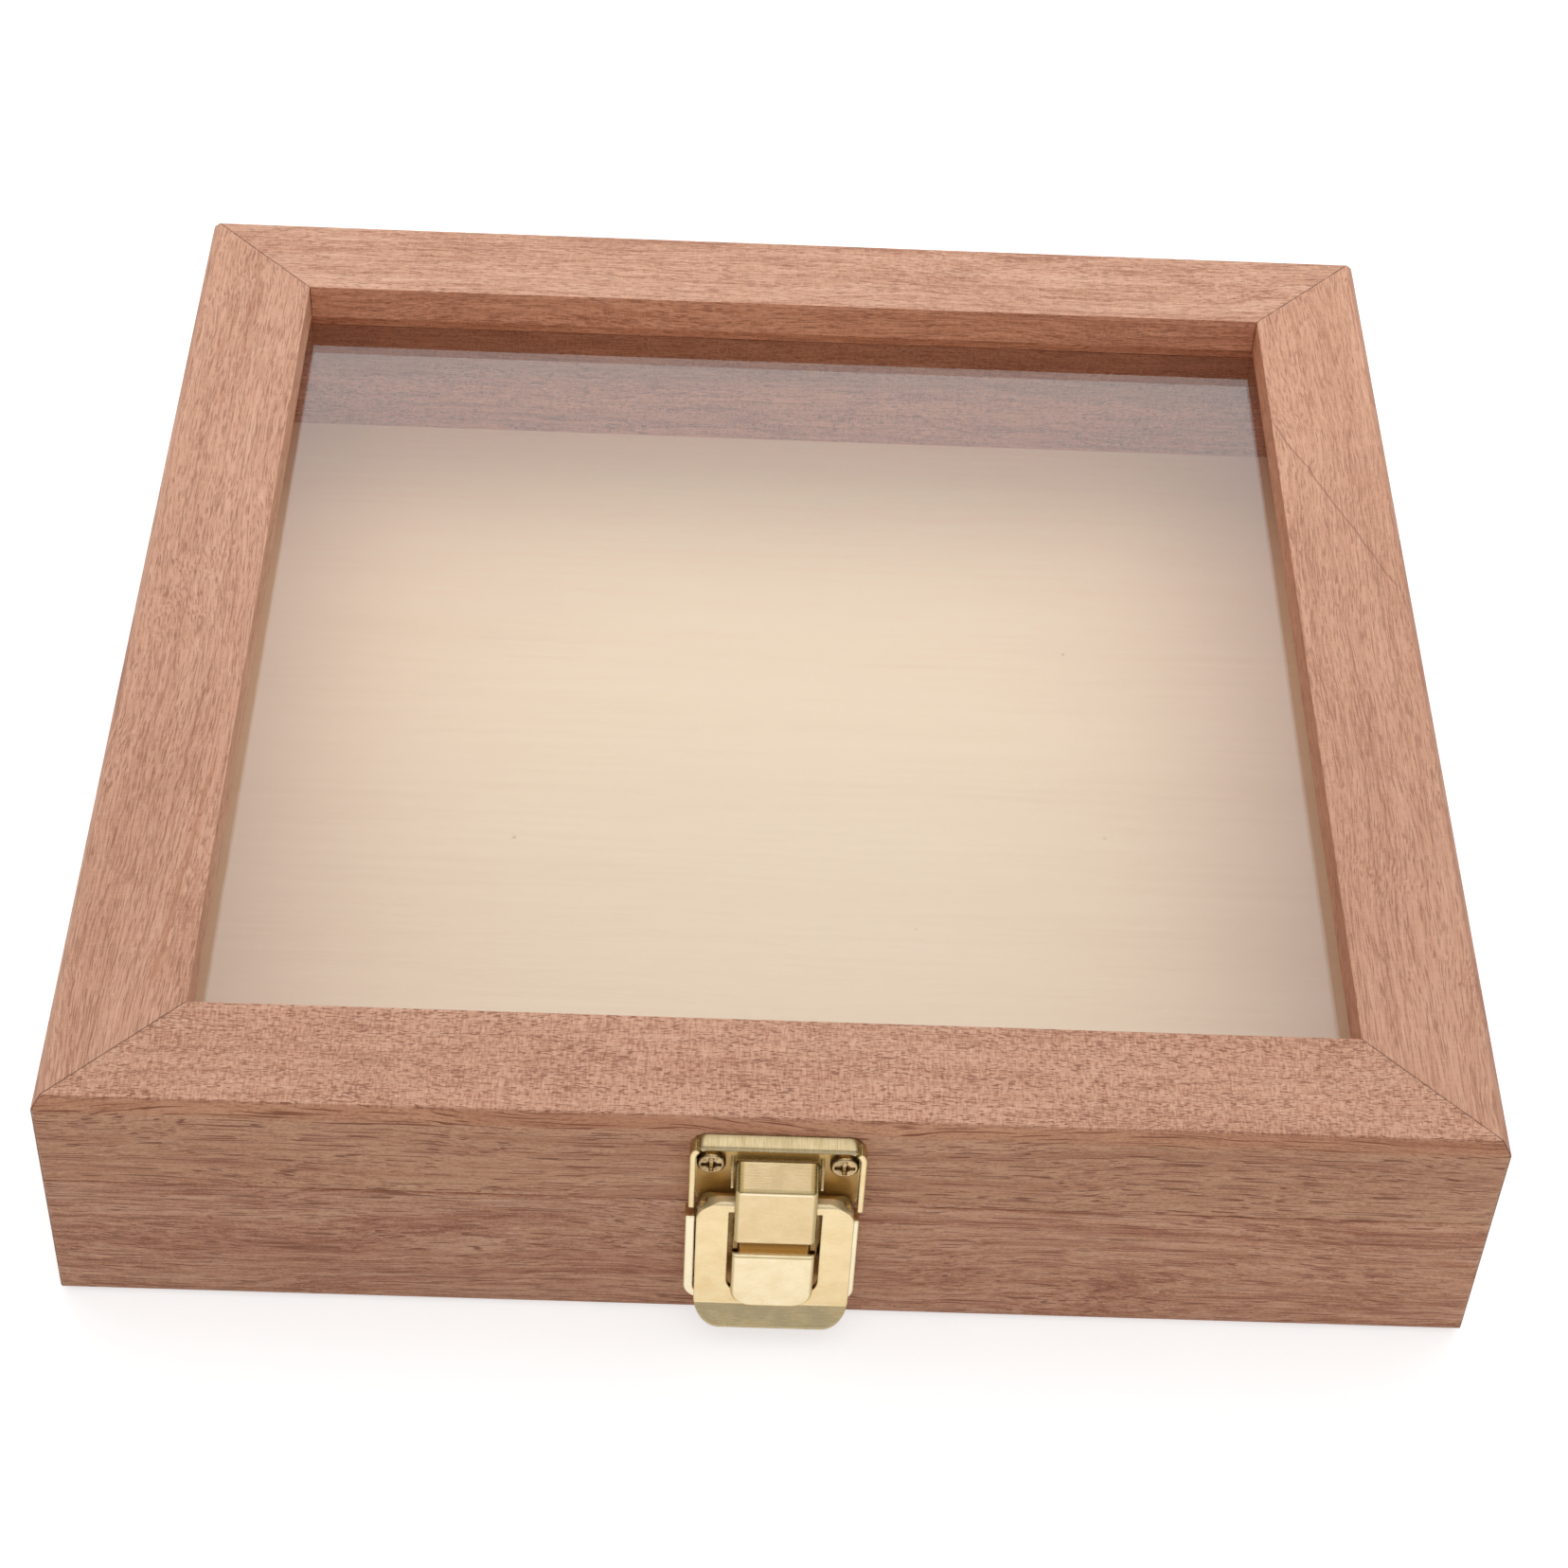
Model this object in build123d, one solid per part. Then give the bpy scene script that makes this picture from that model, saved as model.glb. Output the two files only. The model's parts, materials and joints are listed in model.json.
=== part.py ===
"""Wooden jewelry box with a glazed lid, two butt hinges and a brass toggle latch.

The origin is the centre of the base face, +X runs to the right, +Y to the hinge side
and +Z up, so the latch is on the -Y side. All sizes are in millimetres.
"""
import os
from math import cos, radians, sin, tan

from build123d import *

# Body and lid
box_width = 240.0
box_depth = 240.0
body_height = 29.85
parting_gap = 0.15
lid_height = 20.0
wall_thickness = 10.0
corner_round = 1.0
base_round = 2.0
parting_round = 0.35
bevel_inset = 1.7
bevel_drop = 2.3
bevel_round = 3.0
bevel_crease_round = 0.3

# Floor panel, let into the walls from below
floor_thickness = 3.0
floor_rebate = 5.0
floor_clearance = 0.2

# Lid frame, with the pane held up against its lip
rail_width = 22.5
lip_thickness = 7.5
glass_thickness = 2.0
glass_clearance = 0.6
bead_width = 2.6
bead_height = 3.0
bead_round = 1.0

# Hinges, each centred at a distance from its side of the box
hinge_inset = 45.0
leaf_length = 22.0
leaf_depth = 8.4
leaf_thickness = 0.8
leaf_clearance = 0.15
knuckle_radius = 1.7
knuckle_wood_gap = 0.3
middle_knuckle_length = 8.0
knuckle_gap = 0.2
hinge_pin_radius = 0.9
pin_clearance = 0.05
hinge_screw_spacing = 13.0
hinge_screw_head_radius = 1.7
hinge_screw_shank_radius = 0.9
hinge_screw_length = 8.0

# Latch screws, with round-edged pan heads
screw_head_radius = 2.4
screw_head_height = 1.3
screw_edge_round = 0.55
screw_shank_radius = 1.0
screw_length = 7.5
screw_hole_clearance = 0.05
recess_length = 3.3
recess_width = 0.7
recess_depth = 0.8
recess_dimple = 0.95

# Strike plate on the lid
latch_x = 0.8
sheet = 0.9
strike_width = 28.8
strike_height = 15.9
strike_foot = 1.7
strike_floor = 0.7
strike_rim = 2.8
strike_rim_thickness = 1.0
strike_corner = 3.2
strike_notch = 0.6
strike_notch_angle = 38.0
strike_screw_inset = 3.55
strike_screw_drop = 5.55
cheek_gap = 0.3
cheek_thickness = 0.45
cheek_reach = 2.9
cheek_top_drop = 4.4
cheek_run = 4.7
catch_height = 0.3

# Base plate on the body
base_width = 28.7
base_shift = -0.45
base_height = 22.0
base_drop = 0.45
base_floor = 0.8
base_rim = 3.0
base_rim_thickness = 1.6
base_corner = 3.5
base_rim_reach = 3.8
base_screw_inset = 4.15
base_screw_drop = 11.0
ear_thickness = 1.0
ear_inset = 0.3
ear_radius = 1.45

# Lever, which turns on a pin in the roll behind its top edge
lever_pin_radius = 0.75
lever_pin_rise = 3.35
lever_pin_out = 2.75
lever_pin_length = 22.4
lever_width = 26.0
lever_shoulder = 4.4
lever_drop = 24.8
lever_bend_round = 0.5
lever_head_round = 0.8
tab_length = 4.3
tab_angle = 36.0
tab_corner = 4.4
window_width = 15.3
window_foot = 2.4
window_corner = 4.0
slot_rise = 0.4
roll_gap = 9.8

# Tongue, raised from the lever as a channel whose top is rolled round the claw's pin
tongue_width = 13.7
tongue_raise = 1.15
tongue_corner = 3.6
tongue_foot = 0.5
tongue_side_round = 0.7
tongue_top_drop = 1.9
tongue_roll_half = 5.7
tongue_roll_radius = 1.45
tongue_roll_drop = 3.0

# Claw, which turns on a pin in the tongue's roll
claw_pin_radius = 0.6
claw_pin_drop = 8.1
claw_pin_depth = 2.0
claw_width = 13.6
claw_foot_rise = 1.3
claw_front_height = 13.0
claw_slope_out = 3.65
claw_slope_rise = 3.8
claw_lever_gap = 0.3
claw_side_thickness = 0.8
claw_side_depth = 1.5
claw_edge_round = 1.0
claw_crease_round = 0.6
claw_tip_corner = 1.2
claw_eye_radius = 1.2
claw_arm_drop = 1.35
running_gap = 0.3
edge_soften = 0.3

# Places that follow from the sizes above
front_y = -box_depth / 2
back_y = box_depth / 2
lid_bottom = body_height + parting_gap
lid_top = lid_bottom + lid_height
glass_top = lid_top - lip_thickness
glass_bottom = glass_top - glass_thickness
inner_width = box_width - 2 * wall_thickness
inner_depth = box_depth - 2 * wall_thickness
hinge_y = back_y + knuckle_radius + knuckle_wood_gap
hinge_z = body_height + parting_gap / 2
lever_pin_z = body_height + lever_pin_rise
lever_face = lever_pin_out + lever_pin_radius + pin_clearance + sheet
lever_bend_z = lever_pin_z - lever_drop
tongue_face = lever_face + tongue_raise
claw_pin_z = lever_pin_z - claw_pin_drop
claw_pin_out = tongue_face - claw_pin_depth
tongue_top = claw_pin_z - tongue_top_drop
claw_back = lever_face + claw_lever_gap
claw_face = claw_back + sheet
claw_foot_z = claw_pin_z + claw_foot_rise
claw_crease_z = claw_foot_z + claw_front_height
strike_bottom = lid_bottom + strike_foot
strike_top = strike_bottom + strike_height
base_top = body_height - base_drop
base_bottom = base_top - base_height

parts = {}


def slab(x_low, x_high, y_low, y_high, z_low, z_high):
    """A plain block between two corners."""
    block = Box(x_high - x_low, y_high - y_low, z_high - z_low)
    return Pos((x_low + x_high) / 2, (y_low + y_high) / 2, (z_low + z_high) / 2) * block


def centred_slab(width, depth, z_low, z_high):
    return slab(-width / 2, width / 2, -depth / 2, depth / 2, z_low, z_high)


def rounded_rectangle(width, low, high, top_radius, bottom_radius):
    """A rectangle in a plane's own axes with its upper or lower corners rounded."""
    outline = Pos(0, (low + high) / 2) * Rectangle(width, high - low)
    if top_radius > 0:
        outline = fillet(outline.vertices().group_by(Axis.Y)[-1], top_radius)
    if bottom_radius > 0:
        outline = fillet(outline.vertices().group_by(Axis.Y)[0], bottom_radius)
    return outline


def body_block():
    """The body's full outer block, before it is hollowed and split at the mitres."""
    block = centred_slab(box_width, box_depth, 0, body_height)
    block = fillet(block.faces().sort_by(Axis.Z)[-1].edges(), parting_round)
    block = fillet(block.faces().sort_by(Axis.Z)[0].edges(), base_round)
    return round_corners(block)


def lid_block():
    """The lid's full outer block, with a crisp crease over a bevel that runs into the sides."""
    block = centred_slab(box_width, box_depth, lid_bottom, lid_top)
    top_face = block.faces().sort_by(Axis.Z)[-1]
    block = chamfer(top_face.edges(), bevel_inset, bevel_drop, reference=top_face)
    bevel_foot = block.edges().filter_by_position(Axis.Z, lid_top - bevel_drop,
                                                  lid_top - bevel_drop)
    block = fillet(bevel_foot, bevel_round)
    block = fillet(block.faces().sort_by(Axis.Z)[-1].edges(), bevel_crease_round)
    block = fillet(block.faces().sort_by(Axis.Z)[0].edges(), parting_round)
    return round_corners(block)


def round_corners(block):
    """Round the four upright corners of the body or lid."""
    for x_side in (-1, 1):
        for y_side in (-1, 1):
            x_centre = x_side * (box_width / 2 - corner_round)
            y_centre = y_side * (box_depth / 2 - corner_round)
            post = Cylinder(corner_round, 3 * lid_top)
            square = Pos(x_side * corner_round, y_side * corner_round) * Box(
                2 * corner_round, 2 * corner_round, 2 * lid_top)
            block -= Pos(x_centre, y_centre, lid_top / 2) * (square - post)
    return block


def mitred_side(frame, side):
    """Cut one side of a frame out along the 45 degree mitres of its corners."""
    reach = rail_width + wall_thickness
    x_out, y_out = box_width / 2 + reach, box_depth / 2 + reach
    x_in, y_in = box_width / 2 - reach, box_depth / 2 - reach
    outlines = {
        "front": [(-x_out, -y_out), (x_out, -y_out), (x_in, -y_in), (-x_in, -y_in)],
        "back": [(x_out, y_out), (-x_out, y_out), (-x_in, y_in), (x_in, y_in)],
        "left": [(-x_out, y_out), (-x_out, -y_out), (-x_in, -y_in), (-x_in, y_in)],
        "right": [(x_out, -y_out), (x_out, y_out), (x_in, y_in), (x_in, -y_in)],
    }
    wedge = make_face(Polyline(outlines[side], close=True))
    return frame & extrude(wedge, amount=lid_top + wall_thickness)


def latch_block(half_width, out_low, out_high, z_low, z_high, inner_half=0.0):
    """A block on the latch's centre line, or a pair of them outside inner_half."""
    if inner_half == 0.0:
        return slab(latch_x - half_width, latch_x + half_width,
                    front_y - out_high, front_y - out_low, z_low, z_high)
    left = slab(latch_x - half_width, latch_x - inner_half,
                front_y - out_high, front_y - out_low, z_low, z_high)
    right = slab(latch_x + inner_half, latch_x + half_width,
                 front_y - out_high, front_y - out_low, z_low, z_high)
    return left + right


def side_face(points, radii=None):
    """A face in the plane that cuts the latch from front to back, from (out, z) points."""
    outline = make_face(Polyline([(front_y - out, z) for out, z in points], close=True))
    for index, radius in (radii or {}).items():
        out, z = points[index]
        corner = outline.vertices().sort_by_distance(Vector(front_y - out, z, 0))[0]
        outline = fillet(corner, radius)
    return Plane.YZ * outline


def side_prism(face, half_width, inner_half=0.0):
    """Extrude a side face across the latch, leaving out the middle within inner_half."""
    prism = Pos(latch_x, 0, 0) * extrude(face, amount=half_width, both=True)
    if inner_half == 0.0:
        return prism
    middle = Pos(latch_x, 0, 0) * extrude(face, amount=inner_half, both=True)
    return prism - middle


def front_prism(outline, out_low, out_high):
    """Extrude a front-view outline outwards between two distances from the wall."""
    plane = Plane.XZ.offset(-front_y + out_low)
    return Pos(latch_x, 0, 0) * extrude(plane * outline, amount=out_high - out_low)


def cross_rod(radius, out, z, half_width):
    """A round rod across the latch, centred on its middle."""
    rod = Rot(0, 90, 0) * Cylinder(radius, 2 * half_width)
    return Pos(latch_x, front_y - out, z) * rod


def on_front(x, z, out=0.0):
    """Where a screw that enters the front face stands, with its head outwards."""
    return Plane(origin=(x, front_y - out, z), x_dir=(1, 0, 0), z_dir=(0, -1, 0)).location


def cross_recess(depth, length, top):
    slot = Box(length, recess_width, depth)
    other = Box(recess_width, length, depth)
    return Pos(0, 0, top - depth / 2) * (slot + other)


def pan_screw():
    """A screw with a pan head that seats on z = 0, its shank below."""
    head = Pos(0, 0, screw_head_height / 2) * Cylinder(screw_head_radius, screw_head_height)
    head = fillet(head.edges().group_by(Axis.Z)[-1], screw_edge_round)
    shank = Pos(0, 0, -screw_length / 2) * Cylinder(screw_shank_radius, screw_length)
    recess = cross_recess(recess_depth, recess_length, screw_head_height)
    recess += Pos(0, 0, screw_head_height - recess_depth / 2) * Cone(
        recess_width / 2, recess_dimple, recess_depth)
    return head + shank - recess


def flat_screw():
    """A countersunk screw whose head is flush with z = 0, its shank below."""
    head = Pos(0, 0, -leaf_thickness / 2) * Cone(
        hinge_screw_shank_radius, hinge_screw_head_radius, leaf_thickness)
    shank = Pos(0, 0, -hinge_screw_length / 2) * Cylinder(
        hinge_screw_shank_radius, hinge_screw_length)
    recess = cross_recess(leaf_thickness / 2, hinge_screw_head_radius, 0)
    return head + shank - recess


def screw_hole(shank_radius, length):
    hole_radius = shank_radius + screw_hole_clearance
    depth = length + screw_hole_clearance
    return Pos(0, 0, -depth / 2) * Cylinder(hole_radius, depth)


def latch_screw_places(middle, plate_width, inset, z):
    """Where the two screws of a latch plate stand, at a distance from its sides."""
    return [on_front(middle + side * (plate_width / 2 - inset), z) for side in (-1, 1)]


strike_screw_places = latch_screw_places(latch_x, strike_width, strike_screw_inset,
                                         strike_top - strike_screw_drop)
base_screw_places = latch_screw_places(latch_x + base_shift, base_width, base_screw_inset,
                                       base_top - base_screw_drop)
hinge_centres = {"left": hinge_inset - box_width / 2, "right": box_width / 2 - hinge_inset}
leaf_front = back_y - leaf_depth


def hinge_screw_places(z, upwards):
    """Where the hinge screws stand in one leaf of each hinge."""
    facing = (0, 0, 1) if upwards else (0, 0, -1)
    places = []
    for centre in hinge_centres.values():
        for side in (-1, 1):
            x = centre + side * hinge_screw_spacing / 2
            origin = (x, back_y - leaf_depth / 2, z)
            places.append(Plane(origin=origin, x_dir=(1, 0, 0), z_dir=facing).location)
    return places


def leaf_mortises(z_low, z_high):
    """The shallow recesses that let the hinge leaves lie flush in the wood."""
    cut = Part()
    for centre in hinge_centres.values():
        cut += slab(centre - leaf_length / 2 - leaf_clearance,
                    centre + leaf_length / 2 + leaf_clearance,
                    leaf_front - leaf_clearance, back_y + wall_thickness, z_low, z_high)
    return cut


def make_body():
    """Four mitred walls and a plywood floor let into them from below."""
    walls = body_block()
    walls -= centred_slab(inner_width, inner_depth, -1, body_height + 1)
    walls -= centred_slab(inner_width + 2 * floor_rebate, inner_depth + 2 * floor_rebate,
                          -1, floor_thickness)
    walls -= leaf_mortises(body_height - leaf_thickness, body_height + 1)
    for place in base_screw_places:
        walls -= place * screw_hole(screw_shank_radius, screw_length)
    for place in hinge_screw_places(body_height, True):
        walls -= place * screw_hole(hinge_screw_shank_radius, hinge_screw_length)
    for side in ("front", "back", "left", "right"):
        parts[f"body_{side}_wall"] = mitred_side(walls, side)
    floor_width = inner_width + 2 * (floor_rebate - floor_clearance)
    floor_depth = inner_depth + 2 * (floor_rebate - floor_clearance)
    parts["floor_panel"] = centred_slab(floor_width, floor_depth, 0, floor_thickness)


def make_lid():
    """Four mitred rails with a lip over the pane, the pane and the beads that hold it."""
    rails = lid_block()
    rails -= centred_slab(box_width - 2 * rail_width, box_depth - 2 * rail_width,
                          lid_bottom - 1, lid_top + 1)
    rails -= centred_slab(inner_width, inner_depth, lid_bottom - 1, glass_top)
    rails -= leaf_mortises(lid_bottom - 1, lid_bottom + leaf_thickness)
    for place in strike_screw_places:
        rails -= place * screw_hole(screw_shank_radius, screw_length)
    for place in hinge_screw_places(lid_bottom, False):
        rails -= place * screw_hole(hinge_screw_shank_radius, hinge_screw_length)
    beads = centred_slab(inner_width, inner_depth, glass_bottom - bead_height, glass_bottom)
    beads -= centred_slab(inner_width - 2 * bead_width, inner_depth - 2 * bead_width,
                          lid_bottom, lid_top)
    inner_edges = beads.edges().group_by(Axis.Z)[0].sort_by(Edge.length)[:4]
    beads = fillet(inner_edges, bead_round)
    for side in ("front", "back", "left", "right"):
        parts[f"lid_{side}_rail"] = mitred_side(rails, side)
        parts[f"glazing_bead_{side}"] = mitred_side(beads, side)
    parts["glass_pane"] = centred_slab(inner_width - 2 * glass_clearance,
                                       inner_depth - 2 * glass_clearance,
                                       glass_bottom, glass_top)


def hinge_leaf(centre, plate_low, knuckle_ranges, bore_radius):
    """One leaf of a hinge, with its knuckles at the given places along the pin."""
    leaf = slab(centre - leaf_length / 2, centre + leaf_length / 2,
                leaf_front, back_y, plate_low, plate_low + leaf_thickness)
    for start, end in knuckle_ranges:
        middle = centre + (start + end) / 2
        knuckle = Rot(0, 90, 0) * Cylinder(knuckle_radius, end - start)
        leaf += Pos(middle, hinge_y, hinge_z) * knuckle
        leaf += slab(centre + start, centre + end, back_y,
                     hinge_y - bore_radius, plate_low, plate_low + leaf_thickness)
    bore = Rot(0, 90, 0) * Cylinder(bore_radius, 2 * leaf_length)
    return leaf - Pos(centre, hinge_y, hinge_z) * bore


def make_hinges():
    half = leaf_length / 2
    middle = middle_knuckle_length / 2
    outer_knuckles = [(-half, -middle - knuckle_gap), (middle + knuckle_gap, half)]
    lid_bore = hinge_pin_radius + pin_clearance
    sink = Pos(0, 0, -leaf_thickness / 2) * Cone(
        hinge_screw_shank_radius, hinge_screw_head_radius, leaf_thickness)
    for name, centre in hinge_centres.items():
        body_leaf = hinge_leaf(centre, body_height - leaf_thickness, outer_knuckles,
                               hinge_pin_radius)
        lid_leaf = hinge_leaf(centre, lid_bottom, [(-middle, middle)], lid_bore)
        for place in hinge_screw_places(body_height, True):
            body_leaf -= place * sink
        for place in hinge_screw_places(lid_bottom, False):
            lid_leaf -= place * sink
        pin = Rot(0, 90, 0) * Cylinder(hinge_pin_radius, leaf_length)
        parts[f"{name}_hinge_body_leaf"] = body_leaf
        parts[f"{name}_hinge_lid_leaf"] = lid_leaf
        parts[f"{name}_hinge_pin"] = Pos(centre, hinge_y, hinge_z) * pin
    body_places = hinge_screw_places(body_height, True)
    lid_places = hinge_screw_places(lid_bottom, False)
    parts["hinge_body_screws"] = Compound(children=[place * flat_screw() for place in body_places])
    parts["hinge_lid_screws"] = Compound(children=[place * flat_screw() for place in lid_places])


def make_strike():
    """The tray on the lid, with the two cheeks that guide the claw and a low catch."""
    outline = rounded_rectangle(strike_width, strike_bottom, strike_top, strike_corner, 0)
    inner_corner = strike_corner - strike_rim_thickness
    inner = rounded_rectangle(strike_width - 2 * strike_rim_thickness, strike_bottom - 1,
                              strike_top - strike_rim_thickness, inner_corner, 0)
    tray = front_prism(outline, 0, strike_rim)
    rim_edges = tray.edges().group_by(Axis.Y)[0]
    tray = fillet(rim_edges.filter_by_position(Axis.Z, strike_bottom + 1, lid_top), edge_soften)
    tray -= front_prism(inner, strike_floor, strike_rim + 1)
    for side in (-1, 1):
        corner_x = latch_x + side * (strike_width / 2 - strike_corner)
        slit = Pos(0, 0, strike_corner) * Box(strike_notch, 2 * strike_rim, 2 * strike_corner)
        place = Pos(corner_x, front_y - strike_floor - strike_rim, strike_top - strike_corner)
        tray -= place * Rot(0, side * strike_notch_angle, 0) * slit
    cheek_half = claw_width / 2 + cheek_gap
    cheek_top = strike_top - cheek_top_drop
    cheek_out = strike_floor + cheek_reach
    cheek = side_face([(strike_floor / 2, cheek_top), (strike_floor, cheek_top),
                       (cheek_out, cheek_top - cheek_run),
                       (cheek_out - sheet, cheek_top - cheek_run - sheet / 2),
                       (strike_floor / 2, cheek_top - cheek_run / 2)])
    tray += side_prism(cheek, cheek_half + cheek_thickness, cheek_half)
    curl_out = cheek_out - sheet / 2
    curl_z = cheek_top - cheek_run - sheet / 4
    curls = cross_rod(sheet / 2, curl_out, curl_z, cheek_half + cheek_thickness)
    tray += curls - latch_block(cheek_half, 0, 2 * cheek_out, body_height, lid_top)
    catch_top = cheek_top - cheek_run / 4
    tray += latch_block(cheek_half, 0, strike_floor + catch_height,
                        catch_top - cheek_run / 4, catch_top)
    for place in strike_screw_places:
        tray -= place * Cylinder(screw_shank_radius + screw_hole_clearance, 4 * strike_floor)
    parts["strike_plate"] = tray
    head_lift = Pos(0, 0, strike_floor)
    screws = [place * head_lift * pan_screw() for place in strike_screw_places]
    parts["strike_screws"] = Compound(children=screws)


def make_base_plate():
    """The tray on the body, with two ears that hold the lever's pin over the parting line."""
    outline = rounded_rectangle(base_width, base_bottom, base_top, 0, base_corner)
    inner = rounded_rectangle(base_width - 2 * base_rim_thickness,
                              base_bottom + base_rim_thickness, base_top + 1,
                              0, base_corner - base_rim_thickness)
    tray = front_prism(outline, 0, base_rim)
    rim_edges = tray.edges().group_by(Axis.Y)[0]
    tray = fillet(rim_edges, edge_soften)
    tray -= front_prism(inner, base_floor, base_rim + 1)
    tray -= latch_block(base_width / 2 - base_rim_reach, base_floor, base_rim + 1,
                        base_bottom - 1, base_top + 1)
    tray = Pos(base_shift, 0, 0) * tray
    ear_back = strike_floor + running_gap
    ear_foot = claw_pin_z
    profile = side_face([(base_floor / 2, ear_foot), (base_floor, ear_foot),
                         (lever_pin_out + ear_radius, lever_pin_z - ear_radius),
                         (lever_pin_out + ear_radius, lever_pin_z),
                         (ear_back + ear_inset, lever_pin_z),
                         (ear_back + ear_inset, lid_bottom + parting_gap),
                         (base_floor / 2, base_top - ear_inset)])
    ear_outer = roll_gap / 2 - ear_inset
    ears = side_prism(profile, ear_outer, ear_outer - ear_thickness)
    eye = cross_rod(ear_radius, lever_pin_out, lever_pin_z, ear_outer)
    between = latch_block(ear_outer - ear_thickness, 0, 2 * tongue_face, body_height, lid_top)
    ears += eye - between
    tray += ears
    tray -= cross_rod(lever_pin_radius, lever_pin_out, lever_pin_z, base_width)
    for place in base_screw_places:
        tray -= place * Cylinder(screw_shank_radius + screw_hole_clearance, 4 * base_floor)
    parts["latch_base_plate"] = tray
    head_lift = Pos(0, 0, base_floor)
    screws = [place * head_lift * pan_screw() for place in base_screw_places]
    parts["latch_base_screws"] = Compound(children=screws)
    parts["lever_pin"] = cross_rod(lever_pin_radius, lever_pin_out, lever_pin_z,
                                   lever_pin_length / 2)


def make_lever():
    """A bent plate with a roll behind its top edge, a window and a raised tongue."""
    turn = radians(tab_angle)
    back = lever_face - sheet
    end_out = lever_face + tab_length * sin(turn)
    end_z = lever_bend_z - tab_length * cos(turn)
    plate_points = [(back, lever_pin_z), (lever_face, lever_pin_z),
                    (lever_face, lever_bend_z), (end_out, end_z),
                    (end_out - sheet * cos(turn), end_z - sheet * sin(turn)),
                    (back, lever_bend_z - sheet * tan(turn / 2))]
    profile = side_face(plate_points, {2: lever_bend_round, 5: lever_bend_round + sheet})
    lever = side_prism(profile, lever_width / 2)
    roll_radius = lever_face - lever_pin_out
    lever += cross_rod(roll_radius, lever_pin_out, lever_pin_z, lever_width / 2)
    roll_top = lever_pin_z + roll_radius
    head = side_face([(lever_pin_out, lever_pin_z), (lever_face, lever_pin_z),
                      (lever_face, roll_top), (lever_pin_out, roll_top)], {2: lever_head_round})
    lever += side_prism(head, lever_width / 2)
    outline = rounded_rectangle(lever_width, end_z, roll_top, lever_shoulder, tab_corner)
    lever &= front_prism(outline, 0, 2 * tongue_face)
    lever -= front_window()
    lever -= latch_block(roll_gap / 2, 0, 2 * tongue_face, lever_pin_z - 2 * roll_radius,
                         roll_top + 1)
    lever += make_tongue()
    lever -= cross_rod(lever_pin_radius + pin_clearance, lever_pin_out, lever_pin_z,
                       lever_width)
    lever -= cross_rod(claw_pin_radius, claw_pin_out, claw_pin_z, lever_width)
    parts["latch_lever"] = lever
    parts["claw_pin"] = cross_rod(claw_pin_radius, claw_pin_out, claw_pin_z,
                                  claw_width / 2 - screw_hole_clearance)


def front_window():
    """The opening round the tongue, which runs up beside the claw as two slots."""
    roll_radius = lever_face - lever_pin_out
    window_top = lever_pin_z - roll_radius
    window_bottom = lever_bend_z + window_foot
    outline = rounded_rectangle(window_width, window_bottom, window_top, 0, window_corner)
    window = front_prism(outline, 0, 2 * tongue_face)
    slots = latch_block(window_width / 2, lever_pin_out, 2 * tongue_face, window_top - 1,
                        lever_pin_z - slot_rise, tongue_width / 2)
    return window + slots


def make_tongue():
    """The raised tongue, a channel open towards the wall, with a roll for the claw's pin."""
    low_z = lever_bend_z + tongue_foot
    outer = rounded_rectangle(tongue_width, low_z, tongue_top, 0, tongue_corner)
    channel = front_prism(outer, lever_face - sheet, tongue_face)
    face_edges = channel.edges().group_by(Axis.Y)[0]
    face_edges = face_edges.filter_by_position(Axis.Z, low_z - 1, tongue_top - edge_soften)
    channel = fillet(face_edges, tongue_side_round)
    inner = rounded_rectangle(tongue_width - 2 * sheet, low_z + sheet, tongue_top + 1,
                              0, tongue_corner - sheet)
    channel -= front_prism(inner, 0, tongue_face - sheet)
    roll_front = claw_pin_out + tongue_roll_radius
    neck = side_face([(roll_front - sheet, claw_pin_z), (roll_front, claw_pin_z),
                      (roll_front, tongue_top - tongue_roll_drop),
                      (roll_front - sheet, tongue_top - tongue_roll_drop)])
    roll = side_prism(neck, tongue_roll_half)
    roll += cross_rod(tongue_roll_radius, claw_pin_out, claw_pin_z, tongue_roll_half)
    return channel + roll


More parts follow.
